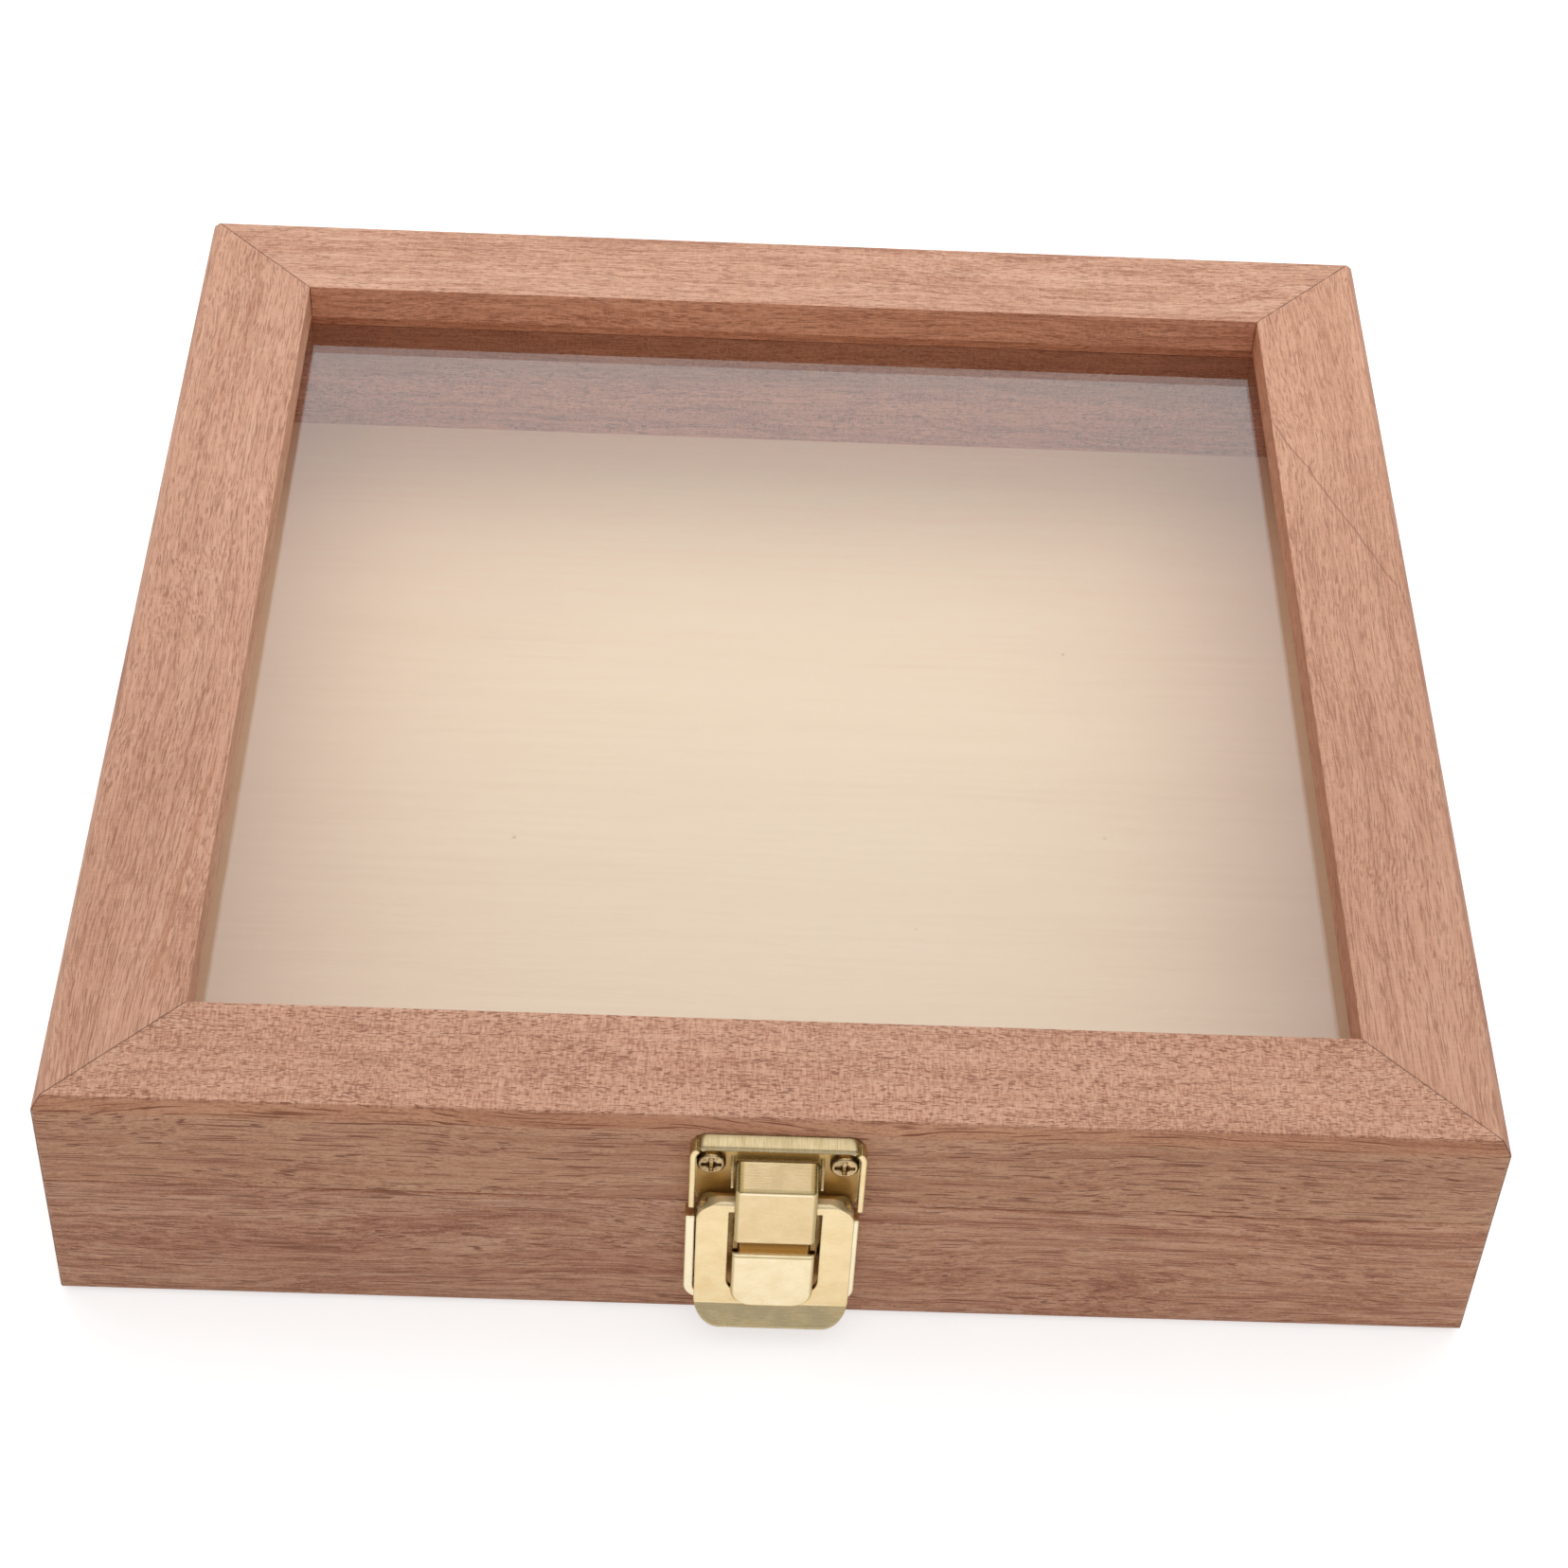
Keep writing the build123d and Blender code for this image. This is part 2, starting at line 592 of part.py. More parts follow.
def make_claw():
    """A bent cap whose side flanges run down to the pin in the tongue's roll."""
    slope = (claw_slope_out ** 2 + claw_slope_rise ** 2) ** 0.5
    slope_out, slope_rise = claw_slope_out / slope, claw_slope_rise / slope
    tip_out = claw_face - claw_slope_out
    tip_z = claw_crease_z + claw_slope_rise
    inner_crease_z = claw_crease_z - sheet * (1 - slope_rise) / slope_out
    back_out, back_z = tip_out - sheet * slope_rise, tip_z - sheet * slope_out
    roll_radius = lever_face - lever_pin_out
    roll_top = lever_pin_z + roll_radius
    roll_bottom = lever_pin_z - roll_radius
    flange_out = claw_back - claw_side_depth
    profile = side_face([(flange_out, claw_foot_z), (claw_face, claw_foot_z),
                         (claw_face, claw_crease_z), (tip_out, tip_z), (back_out, back_z),
                         (back_out + claw_side_depth / 4, back_z - claw_side_depth),
                         (claw_back - claw_side_depth / 2, roll_top + claw_side_depth),
                         (claw_back, roll_top), (claw_back, roll_bottom - running_gap),
                         (flange_out, roll_bottom - claw_side_depth - running_gap)],
                        {2: claw_crease_round})
    cap = side_prism(profile, claw_width / 2)
    long_edges = []
    for side in (-1, 1):
        x = latch_x + side * claw_width / 2
        middle_z = (claw_foot_z + claw_crease_z) / 2
        front_point = Vector(x, front_y - claw_face, middle_z)
        slope_point = Vector(x, front_y - (claw_face + tip_out) / 2, (claw_crease_z + tip_z) / 2)
        crease_point = Vector(x, front_y - claw_face, claw_crease_z)
        for point in (front_point, slope_point, crease_point):
            long_edges += cap.edges().sort_by_distance(point)[:1]
    cap = fillet(long_edges, claw_edge_round)
    outline = rounded_rectangle(claw_width, claw_foot_z - 1, tip_z, claw_tip_corner, 0)
    cap &= front_prism(outline, 0, 2 * tongue_face)
    cavity = side_face([(-sheet, claw_foot_z - 1), (claw_back, claw_foot_z - 1),
                        (claw_back, inner_crease_z), (back_out, back_z),
                        (back_out - slope_out, back_z + slope_rise),
                        (-sheet, back_z + slope_rise)])
    side_inner = claw_width / 2 - claw_side_thickness
    cap -= side_prism(cavity, side_inner)
    arm = side_face([(claw_pin_out, claw_pin_z - claw_arm_drop),
                     (claw_pin_out + claw_eye_radius, claw_pin_z - claw_arm_drop),
                     (claw_pin_out + claw_eye_radius, claw_foot_z + sheet),
                     (claw_pin_out - claw_eye_radius / 2, claw_foot_z + sheet),
                     (claw_pin_out - claw_eye_radius, claw_pin_z)])
    cap += side_prism(arm, claw_width / 2, side_inner)
    eyes = cross_rod(claw_eye_radius, claw_pin_out, claw_pin_z, claw_width / 2)
    cap += eyes - latch_block(side_inner, 0, 2 * tongue_face, 0, lid_top)
    cap -= cross_rod(claw_pin_radius + pin_clearance, claw_pin_out, claw_pin_z, claw_width)
    parts["latch_claw"] = cap


make_body()
make_lid()
make_hinges()
make_strike()
make_base_plate()
make_lever()
make_claw()

os.makedirs("parts", exist_ok=True)
for node_name, shape in parts.items():
    export_step(shape, f"parts/{node_name}.step")
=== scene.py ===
import json
from collections import namedtuple

import bpy
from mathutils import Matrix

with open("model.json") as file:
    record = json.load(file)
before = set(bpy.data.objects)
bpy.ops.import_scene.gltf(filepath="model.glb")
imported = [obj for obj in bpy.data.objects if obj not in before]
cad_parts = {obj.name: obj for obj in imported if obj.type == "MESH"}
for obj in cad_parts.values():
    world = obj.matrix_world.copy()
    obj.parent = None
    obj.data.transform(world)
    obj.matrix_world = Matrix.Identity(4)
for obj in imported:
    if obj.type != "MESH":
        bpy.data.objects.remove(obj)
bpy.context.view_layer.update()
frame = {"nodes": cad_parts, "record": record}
scene = bpy.context.scene


# Camera at the photograph's place, fitted to the corners of the box
CAMERA_PLACE = (-0.013459, -0.475212, 0.482288)
CAMERA_TURN = (0.785919, -0.0404475, 0.00734652)
CAMERA_LENS = 79.366
CAMERA_SENSOR = 36.0
CAMERA_NEAR = 0.01

# World: its strength for matt surfaces and for what sees it directly, and how much of it gloss
# sees near the horizon and at the sides, with the parts of a ray's direction where that changes
SKY_STRENGTH = 0.51
BACKGROUND_STRENGTH = 1.0
HORIZON_GLOSS = 0.42
HORIZON_SINE = 0.42
ZENITH_SINE = 0.64
SIDE_GLOSS = 0.35
SIDE_START = 0.35
SIDE_END = 0.8

# Lamps and floor, in metres and watts
SOFTBOXES = {
    "back": {"place": (0.08, 0.72, 0.96), "size": 1.8, "power": 10.2},
    "front": {"place": (0.12, -1.1, 1.9), "size": 2.0, "power": 6.5},
}
FLOOR_ALBEDO = 0.7
FLOOR_GLOW = 0.6
FLOOR_SIZE = 40.0
FLOOR_DROP = 0.0003

# Sockets of the Mix node in its colour form
MIX_FACTOR = 0
MIX_FIRST = 6
MIX_SECOND = 7
MIX_RESULT = 2

WHITE = (1.0, 1.0, 1.0)

# From here on, places and sizes are in millimetres, apart from the distance of a bump and the
# radius of a metal's edge, which Blender takes in metres. Graph.step and Graph.below take the
# pair between which a smooth change happens, and Graph.step also the pair of values that it
# goes from and to. Graph.between takes the two ends of a band.
MILLIMETRES = (1000.0, 1000.0, 1000.0)
BOX_HALF = 120.0


def from_side(far, near):
    """A pair of distances from the box's middle, given as distances in from its side."""
    return BOX_HALF - far, BOX_HALF - near


UPRIGHT_FACE = from_side(1.7, 1.2)
BEVEL_INSIDE = from_side(2.2, 1.8)
WINDOW_LIP = from_side(22.6, 22.3)
WALL_INSIDE = from_side(9.0, 8.0)
BEVEL_FOOT = (47.3, 47.9)
BEVEL_TOP = (49.92, 49.98)
LIP_FOOT = (41.0, 42.2)
GLOOM_HEIGHTS = (17.0, 42.4)
GLOOM_BLUR = 3.0

# Wood: colours of its streaks, from dark to light, of its open pores, its dull bands, its mitre
# lines and the painted shade low on the inner back wall, and of the single streaks on the side
# rails
WOOD_DARK = (0.40, 0.165, 0.09)
WOOD_MIDDLE = (0.635, 0.335, 0.215)
WOOD_LIGHT = (0.76, 0.45, 0.31)
WOOD_STOPS = ((0.05, WOOD_DARK), (0.5, WOOD_MIDDLE), (0.95, WOOD_LIGHT))
WOOD_PORE = (0.27, 0.10, 0.055)
WOOD_DUSK = (0.78, 0.65, 0.60)
WOOD_SEAM_AND_SHADE = (0.12, 0.045, 0.025)
STREAK = (0.46, 0.18, 0.09)
HAIR = (0.30, 0.12, 0.07)

# Layers of noise: the size of a grain along, across and up, its detail and how far it swings.
# After them, how far a board's seed shifts its grain, and what upright faces add to the streaks.
GRAIN_BEND = ((70.0, 26.0, 26.0), 1.0, 5.0)
GRAIN_WAVER = ((9.0, 3.5, 3.5), 1.0, 0.4)
WOOD_BROAD = ((90.0, 8.0, 8.0), 1.0, 0.30)
WOOD_BAND = ((26.0, 1.5, 1.5), 2.0, 0.55)
WOOD_LINE = ((7.0, 0.38, 0.38), 1.0, 0.62)
WOOD_GRIT = ((0.5, 0.2, 0.2), 0.0, 0.34)
WOOD_CROSS = ((0.34, 1.5, 1.5), 0.0, 0.30)
VEIN_WAVER = ((9.0, 1.0, 1.0), 2.0, 1.2)
SEED_SHIFT = (137.0, 71.0, 43.0)
UPRIGHT_STREAKS = 0.12

# Dull purplish bands: size, the noise between which they come in, and their strength on flat
# faces with what upright faces add
DUSK_SIZE = (90.0, 2.6, 2.6)
DUSK_NOISE = (0.48, 0.66)
DUSK_FLAT = 0.1
DUSK_UPRIGHT = 0.45

# Pores: sizes, the noise between which they come in, and strengths on flat faces with what
# upright faces add. Short ones come in at the first value of PORE_NOISE in sparse rows, and at
# the second in crowded ones.
PORE_ROWS = (16.0, 2.0, 2.0)
PORE_ROW_NOISE = (0.3, 0.7)
PORE_NOISE = (0.645, 0.555)
PORE_BLUR = 0.07
SHORT_PORE = (1.25, 0.22, 0.22)
SHORT_FLAT = 0.72
SHORT_UPRIGHT = -0.42
LONG_PORE = (12.0, 0.26, 0.26)
LONG_SHIFT = (7.0, 3.0, 5.0)
LONG_NOISE = (0.62, 0.70)
LONG_FLAT = 0.2
LONG_UPRIGHT = 0.65

# Stretch over which painted light grows towards a board's far end, length of a vein's fading
# ends, share of the difference of x and y that lies square to a mitre, and the mitre line's
# wear, width and strength
PAINTED_LIGHT_STRETCH = (-70.0, 115.0)
VEIN_FADE = 6.0
HALF_DIAGONAL = 0.707
SEAM_WEAR = (2.5, 2.5, 2.5)
SEAM_NOISE = (0.3, 0.7)
SEAM_WIDTH = (0.14, 0.30)
SEAM_STRENGTH = 0.85

# Wood's surface: its fibres with their roughness and height, its bump's distance and strength,
# and its specular level
FIBRE = (5.0, 0.22, 0.22)
FIBRE_NOISE = (0.2, 0.8)
FIBRE_ROUGHNESS = (0.5, 0.68)
FIBRE_HEIGHT = 0.5
WOOD_BUMP = (0.00012, 0.5)
WOOD_SPECULAR = 0.4

# What a board looks like unless WOOD_PIECES says otherwise: strengths of the grain's layers,
# the stretch of the grain, tints of the whole board, of the window's lip, of the bevel and of
# the upright outer face, painted shade on the inner face, painted light towards the far end,
# and single veins. Some boards use the tints as painted light, others as painted shade.
WOOD_LOOKS = {
    "streaks": 1.0,
    "mottle": 1.0,
    "dashes": 1.0,
    "ripple": 1.0,
    "reach": 1.0,
    "tint": WHITE,
    "lip": (1.0, 0.84, 0.78),
    "bevel": (0.95, 0.87, 0.82),
    "face": WHITE,
    "gloom": 0.0,
    "far": 1.0,
    "veins": (),
}

# A vein: where it starts and ends along the board, its place across and its slope, its width,
# strength and colour
Vein = namedtuple("Vein", "start end place slope width strength colour")

# Each wooden piece: the direction of its grain, its seed and its own looks
WOOD_PIECES = {
    # The upright face's tint is partly painted light
    "lid_front_rail": ("x", 1, {
        "streaks": 0.5,
        "mottle": 0.7,
        "dashes": 1.15,
        "ripple": 1.5,
        "tint": (1.01, 1.02, 1.02),
        "face": (1.02, 1.01, 0.945),
    }),
    # Painted light: the whole rail is tinted lighter, and its lip lighter than the default
    "lid_back_rail": ("x", 2, {
        "mottle": 0.8,
        "dashes": 0.8,
        "ripple": 0.5,
        "reach": 1.8,
        "tint": (1.09, 1.11, 1.12),
        "lip": (1.02, 0.88, 0.85),
    }),
    # Painted light: the inner lip face is tinted much lighter, and the rail lighter towards its far
    # end
    "lid_left_rail": ("y", 3, {
        "streaks": 0.8,
        "mottle": 0.45,
        "dashes": 0.75,
        "ripple": 0.35,
        "reach": 3.2,
        "lip": (1.25, 1.38, 1.48),
        "bevel": (1.2, 1.2, 1.2),
        "far": 1.08,
        "veins": (
            Vein(-97.0, -40.0, -104.0, 0.075, 0.75, 0.6, STREAK),
            Vein(-66.0, -12.0, -106.5, 0.06, 0.32, 0.5, HAIR),
            Vein(-40.0, 30.0, -112.0, 0.05, 0.32, 0.4, HAIR),
            Vein(-10.0, 70.0, -104.5, 0.02, 0.30, 0.4, HAIR),
            Vein(10.0, 90.0, -114.0, 0.03, 0.30, 0.4, HAIR),
        ),
    }),
    # Painted light: lighter towards its far end
    "lid_right_rail": ("y", 4, {
        "streaks": 0.7,
        "mottle": 0.4,
        "dashes": 0.7,
        "ripple": 0.35,
        "reach": 3.2,
        "tint": (0.98, 0.97, 0.96),
        "far": 1.14,
        "veins": (
            Vein(-85.0, -10.0, 103.5, 0.03, 0.28, 0.45, HAIR),
            Vein(-60.0, 40.0, 108.0, -0.03, 0.28, 0.45, HAIR),
            Vein(14.0, 68.0, 118.0, -0.40, 0.34, 0.7, HAIR),
            Vein(-30.0, 60.0, 114.0, -0.02, 0.28, 0.4, HAIR),
        ),
    }),
    # Painted light on the front wall: lighter towards its far end
    "body_front_wall": ("x", 5, {"tint": (0.955, 0.92, 0.875), "far": 1.11}),
    # Painted shade on the back wall: its inner face is tinted darker and shaded low down
    "body_back_wall": ("x", 6, {"lip": (0.9, 0.73, 0.67), "gloom": 0.35}),
    "body_left_wall": ("y", 7, {}),
    "body_right_wall": ("y", 8, {}),
    # Painted shade: the front, back and right beads are tinted darker. Painted light: the left bead
    # is tinted yellower, as warm bounced light
    "glazing_bead_front": ("x", 9, {"tint": (0.85, 0.70, 0.64)}),
    "glazing_bead_back": ("x", 10, {"tint": (0.62, 0.50, 0.46)}),
    "glazing_bead_left": ("y", 11, {"tint": (1.0, 0.98, 0.70)}),
    "glazing_bead_right": ("y", 12, {"tint": (0.85, 0.70, 0.64)}),
}

# Plywood: colours, layers of its grain, painted shade at the front turning to painted light at
# the back, painted shade towards the sides, its dark specks by place and size, and its surface
PLYWOOD_STOPS = ((0.1, (0.86, 0.62, 0.42)), (0.5, (0.91, 0.675, 0.468)), (0.9, (0.94, 0.715, 0.512)))
PLYWOOD_BEND = ((90.0, 30.0, 30.0), 1.0, 3.0)
PLYWOOD_BROAD = ((140.0, 20.0, 20.0), 2.0, 0.35)
PLYWOOD_LINE = ((40.0, 1.2, 1.2), 3.0, 0.35)
PLYWOOD_FINE = ((5.0, 0.35, 0.35), 1.0, 0.25)
PLYWOOD_DEPTH = (-40.0, 95.0)
PLYWOOD_PAINTED_LIGHT = (0.91, 1.13)
PLYWOOD_SIDES = (20.0, 115.0)
PLYWOOD_SIDE_SHADE = (0.97, 0.935, 0.91)
PLYWOOD_SPECKS = ((-49.4, -12.8, 0.5), (59.2, 44.3, 0.45), (64.7, -7.8, 0.4), (27.5, -33.4, 0.35))
SPECK_COLOUR = (0.30, 0.20, 0.12)
SPECK_CORE = 0.4
SPECK_STRENGTH = 0.55
PLYWOOD_BUMP = (0.00005, 0.3)
PLYWOOD_ROUGHNESS = 0.6
PLYWOOD_SPECULAR = 0.3

# Glass
GLASS_BODY = (0.97, 0.99, 0.98)
GLASS_THROUGH = (0.97, 0.98, 0.97, 1.0)
GLASS_IOR = 1.5

# Metal: sizes of its brushing and clouds, its colours, and the changes at its edges and over
# its surface. Edges are darker, and faces turned sideways get painted shade
BRUSHED = (2.0, 2.0, 0.12)
CLOUD = (3.5, 3.5, 3.5)
BRASS = (0.89, 0.72, 0.43)
BRASS_DULL = (0.80, 0.61, 0.32)
CLAW_BRASS = (0.79, 0.62, 0.37)
CLAW_DULL = (0.71, 0.53, 0.28)
OLIVE_EDGE_AND_SHADE = (0.40, 0.32, 0.14)
BRONZE = (0.66, 0.48, 0.26)
BRONZE_DULL = (0.22, 0.14, 0.06)
BRONZE_EDGE_AND_SHADE = (0.06, 0.035, 0.015)
STEEL = (0.62, 0.60, 0.56)
STEEL_DULL = (0.42, 0.40, 0.36)
STEEL_EDGE_AND_SHADE = (0.3, 0.3, 0.28)
METAL_STOPS = (0.2, 0.7)
BRUSH_SWING = 0.35
TURNED_EDGE = (0.995, 0.93)
SIDEWAYS_EDGE = (0.12, 0.6)
CLOUD_NOISE = (0.3, 0.7)
CLOUD_ROUGHNESS = (0.07, -0.05)
BRUSH_ROUGHNESS = 0.08
BRUSH_BUMP = (0.00002, 0.35)
BEVEL_SAMPLES = 6

# Latch: distances out of the box's front, away from the latch's middle, and up. A loss is how
# much less metallic a spot is than the rest.
LATCH_MIDDLE = 0.8
# Painted shade in the strike's recess, darker low down
RECESS_SHADE_LOW = (0.50, 0.27, 0.06)
RECESS_SHADE_HIGH = (0.66, 0.42, 0.13)
RECESS_OUT = (1.2, 2.1)
RECESS_SIDE = (13.1, 13.35)
RECESS_RISE = (36.0, 44.5)
RECESS_LOSS = 0.6
# The top flange's brushing streaks, darkened as painted shade
FLANGE_FOOT = (46.5, 46.65)
FLANGE_HAIR = (0.10, 3.0, 3.0)
FLANGE_NOISE = (0.35, 0.7)
FLANGE_STREAKS_AND_SHADE = (0.49, 0.37)
# Painted highlight: a paler rim on the base plate
RIM_OUT = (2.0, 2.3)
RIM_TOP = (29.5, 30.0)
RIM_HIGHLIGHT = (0.96, 0.85, 0.60)

# Lever: its tongue with a painted shade line under its top, the roll above that in painted
# shade, its finger tab darkened as painted shade, its head with a painted highlight, and the
# hidden roll behind in painted shade
TONGUE_SIDE = (6.9, 7.0)
TONGUE_OUT = (5.25, 5.4)
TONGUE_TOP = (23.2, 23.4)
TONGUE_FOOT = (8.6, 9.2)
TONGUE_TINT = (1.06, 1.14, 1.32)
TONGUE_RIM = (22.25, 22.7)
TONGUE_RIM_BLUR = 0.08
TONGUE_RIM_STRENGTH = 0.8
ROLL_SHADE_LOW = (0.36, 0.18, 0.035)
ROLL_SHADE_HIGH = (0.16, 0.07, 0.012)
ROLL_HEIGHTS = (23.15, 27.0)
ROLL_BLUR = 0.05
ROLL_OUT = (5.08, 5.2)
ROLL_RISE = (23.2, 26.0)
TAB_TOP = (8.2, 8.5)
TAB_SHADE = (0.96, 0.96, 0.96)
HEAD_FOOT = (30.1, 30.5)
HEAD_OUT = (2.6, 4.4)
HEAD_BLUR = 0.08
HEAD_HIGHLIGHT = (0.95, 0.76, 0.46)
HIDDEN_FOOT = (31.2, 31.4)
HIDDEN_OUT = (2.5, 2.7)
HEAD_LOSS = 0.7

# Claw: the crease below the slope at its tip, with a painted shade line above it and a painted
# highlight below it, painted shade on the slope and in bands along its sides, and painted
# shade on its foot
CLAW_CREASE = 39.4
CREASE_BLUR = 0.15
SLOPE_SHADE = (0.87, 0.85, 0.83)
SLOPE_SIDE_SHADE = (0.45, 0.29, 0.10)
BAND_START = 6.15
BAND_STEP = -0.65
BAND_EDGE = (-0.2, 0.2)
BAND_STRENGTH = 0.55
BAND_MORE = 0.3
MIDDLE_EDGE = (-0.5, 0.0)
CREASE_LINE = (CLAW_CREASE + 0.1, CLAW_CREASE + 0.55)
GLINT_LINE = (CLAW_CREASE - 0.45, CLAW_CREASE - 0.05)
LINE_BLUR = 0.12
CREASE_STRENGTH = 0.6
GLINT_TONE = (0.93, 0.80, 0.56)
FOOT_OUT = (5.0, 5.2)
FOOT_TOP = (26.3, 26.5)
FOOT_LOSS = 0.6


class Graph:
    """Builds one node tree, with short calls for the nodes that the materials share."""

    def __init__(self, tree):
        self.tree = tree
        tree.nodes.clear()

    def add(self, kind, **settings):
        node = self.tree.nodes.new(kind)
        for name, value in settings.items():
            setattr(node, name, value)
        return node

    def feed(self, socket, value):
        if isinstance(value, bpy.types.NodeSocket):
            self.tree.links.new(value, socket)
        else:
            socket.default_value = value

    def math(self, operation, first, second=0.0, third=0.0):
        node = self.add("ShaderNodeMath", operation=operation)
        for socket, value in zip(node.inputs, (first, second, third)):
            self.feed(socket, value)
        return node.outputs[0]

    def total(self, *values):
        result = values[0]
        for value in values[1:]:
            result = self.math("ADD", result, value)
        return result

    def product(self, *values):
        result = values[0]
        for value in values[1:]:
            result = self.math("MULTIPLY", result, value)
        return result

    def inverse(self, value):
        """1 less the value."""
        return self.math("SUBTRACT", 1.0, value)

    def scaled(self, value, factor, base):
        """The value times a factor, plus a base."""
        return self.math("MULTIPLY_ADD", value, factor, base)

    def vector(self, operation, first, second):
        node = self.add("ShaderNodeVectorMath", operation=operation)
        self.feed(node.inputs[0], first)
        self.feed(node.inputs[1], second)
        return node.outputs[0]

    def measure(self, operation, first, second):
        """A distance or a dot product of two vectors."""
        node = self.add("ShaderNodeVectorMath", operation=operation)
        self.feed(node.inputs[0], first)
        self.feed(node.inputs[1], second)
        return node.outputs["Value"]

    def combine(self, x, y, z):
        node = self.add("ShaderNodeCombineXYZ")
        for socket, value in zip(node.inputs, (x, y, z)):
            self.feed(socket, value)
        return node.outputs[0]

    def grey(self, value):
        return self.combine(value, value, value)

    def split(self, vector):
        node = self.add("ShaderNodeSeparateXYZ")
        self.feed(node.inputs[0], vector)
        return node.outputs[0], node.outputs[1], node.outputs[2]

    def millimetres(self):
        """The object's own coordinates in millimetres, whole and split."""
        place = self.add("ShaderNodeTexCoord").outputs["Object"]
        place = self.vector("MULTIPLY", place, MILLIMETRES)
        return (place, *self.split(place))

    def noise(self, place, size, detail):
        """Noise whose grains are size millimetres long in x, y and z."""
        node = self.add("ShaderNodeTexNoise", noise_dimensions="3D")
        self.feed(node.inputs["Vector"], self.vector("DIVIDE", place, size))
        node.inputs["Scale"].default_value = 1.0
        node.inputs["Detail"].default_value = detail
        return node.outputs["Fac"]

    def swing(self, value, reach):
        """Noise about 0.5, turned into a change of up to reach either way."""
        return self.product(self.math("SUBTRACT", value, 0.5), 2.0 * reach)

    def layer(self, place, settings, stretch=1.0, strength=1.0):
        """A layer of noise that swings about 0, with its grains stretched along x."""
        size, detail, reach = settings
        return self.swing(self.noise(place, stretched(size, stretch), detail), reach * strength)

    def step(self, value, low, high, start=0.0, end=1.0):
        """A smooth change from start to end as value goes from low to high."""
        node = self.add("ShaderNodeMapRange", interpolation_type="SMOOTHSTEP")
        for socket, given in zip(node.inputs, (value, low, high, start, end)):
            self.feed(socket, given)
        return node.outputs[0]

    def below(self, value, low, high):
        """1 where value is under low, and 0 where it is over high."""
        return self.inverse(self.step(value, low, high))

    def between(self, value, low, high, blur):
        """1 where value lies between low and high."""
        rise = self.step(value, low - blur, low + blur)
        return self.product(rise, self.below(value, high - blur, high + blur))

    def mix(self, factor, first, second, kind="MIX"):
        node = self.add("ShaderNodeMix", data_type="RGBA", blend_type=kind)
        self.feed(node.inputs[MIX_FACTOR], factor)
        for index, value in ((MIX_FIRST, first), (MIX_SECOND, second)):
            if not isinstance(value, bpy.types.NodeSocket):
                value = (*value, 1.0)
            self.feed(node.inputs[index], value)
        return node.outputs[MIX_RESULT]

    def tint(self, colour, by):
        """The colour multiplied by another."""
        return self.mix(1.0, colour, by, "MULTIPLY")

    def tint_where(self, mask, colour, by):
        """The colour, multiplied by another where the mask is 1."""
        return self.mix(mask, colour, self.tint(colour, by))

    def ramp(self, value, stops):
        node = self.add("ShaderNodeValToRGB")
        self.feed(node.inputs[0], value)
        elements = node.color_ramp.elements
        while len(elements) < len(stops):
            elements.new(0.5)
        for element, (place, colour) in zip(elements, stops):
            element.position = place
            element.color = (*colour, 1.0)
        return node.outputs[0]

    def bump(self, height, distance, strength, normal=None):
        node = self.add("ShaderNodeBump")
        self.feed(node.inputs["Height"], height)
        node.inputs["Distance"].default_value = distance
        node.inputs["Strength"].default_value = strength
        if normal is not None:
            self.feed(node.inputs["Normal"], normal)
        return node.outputs[0]

    def finish(self, shader, output="ShaderNodeOutputMaterial"):
        self.tree.links.new(shader, self.add(output).inputs["Surface"])


def stretched(size, factor):
    """A grain's size with its length multiplied."""
    return (size[0] * factor, *size[1:])


def new_material(name):
    material = bpy.data.materials.new(name)
    material.use_nodes = True
    return material, Graph(material.node_tree)


def principled(graph, colour, roughness, normal=None, **constants):
    """A Principled shader. Constants are set on its own sockets by name."""
    shader = graph.add("ShaderNodeBsdfPrincipled")
    if isinstance(colour, tuple):
        colour = (*colour, 1.0)
    graph.feed(shader.inputs["Base Color"], colour)
    graph.feed(shader.inputs["Roughness"], roughness)
    if normal is not None:
        graph.feed(shader.inputs["Normal"], normal)
    for name, value in constants.items():
        shader.inputs[name.replace("_", " ")].default_value = value
    return shader.outputs[0]


# Where a shaded point lies on a board: run is along its grain and side across it, outward is
# how far it is from the box's middle, and upright and flat say which kind of face it is on
Board = namedtuple("Board", "place x y z run side grain outward upright flat")


def locate_on_board(g, along, seed):
    """The shaded point on a board whose grain runs along x or y and wanders a little."""
    place, x, y, z = g.millimetres()
    run, side = (x, y) if along == "x" else (y, x)
    shift = tuple(seed * distance for distance in SEED_SHIFT)
    grain = g.vector("ADD", g.combine(run, side, z), shift)
    wander = g.total(g.layer(grain, GRAIN_BEND), g.layer(grain, GRAIN_WAVER))
    grain = g.vector("ADD", grain, g.combine(0.0, wander, wander))
    outward = g.math("ABSOLUTE", side)
    upright = g.step(outward, *UPRIGHT_FACE)
    return Board(place, x, y, z, run, side, grain, outward, upright, g.inverse(upright))


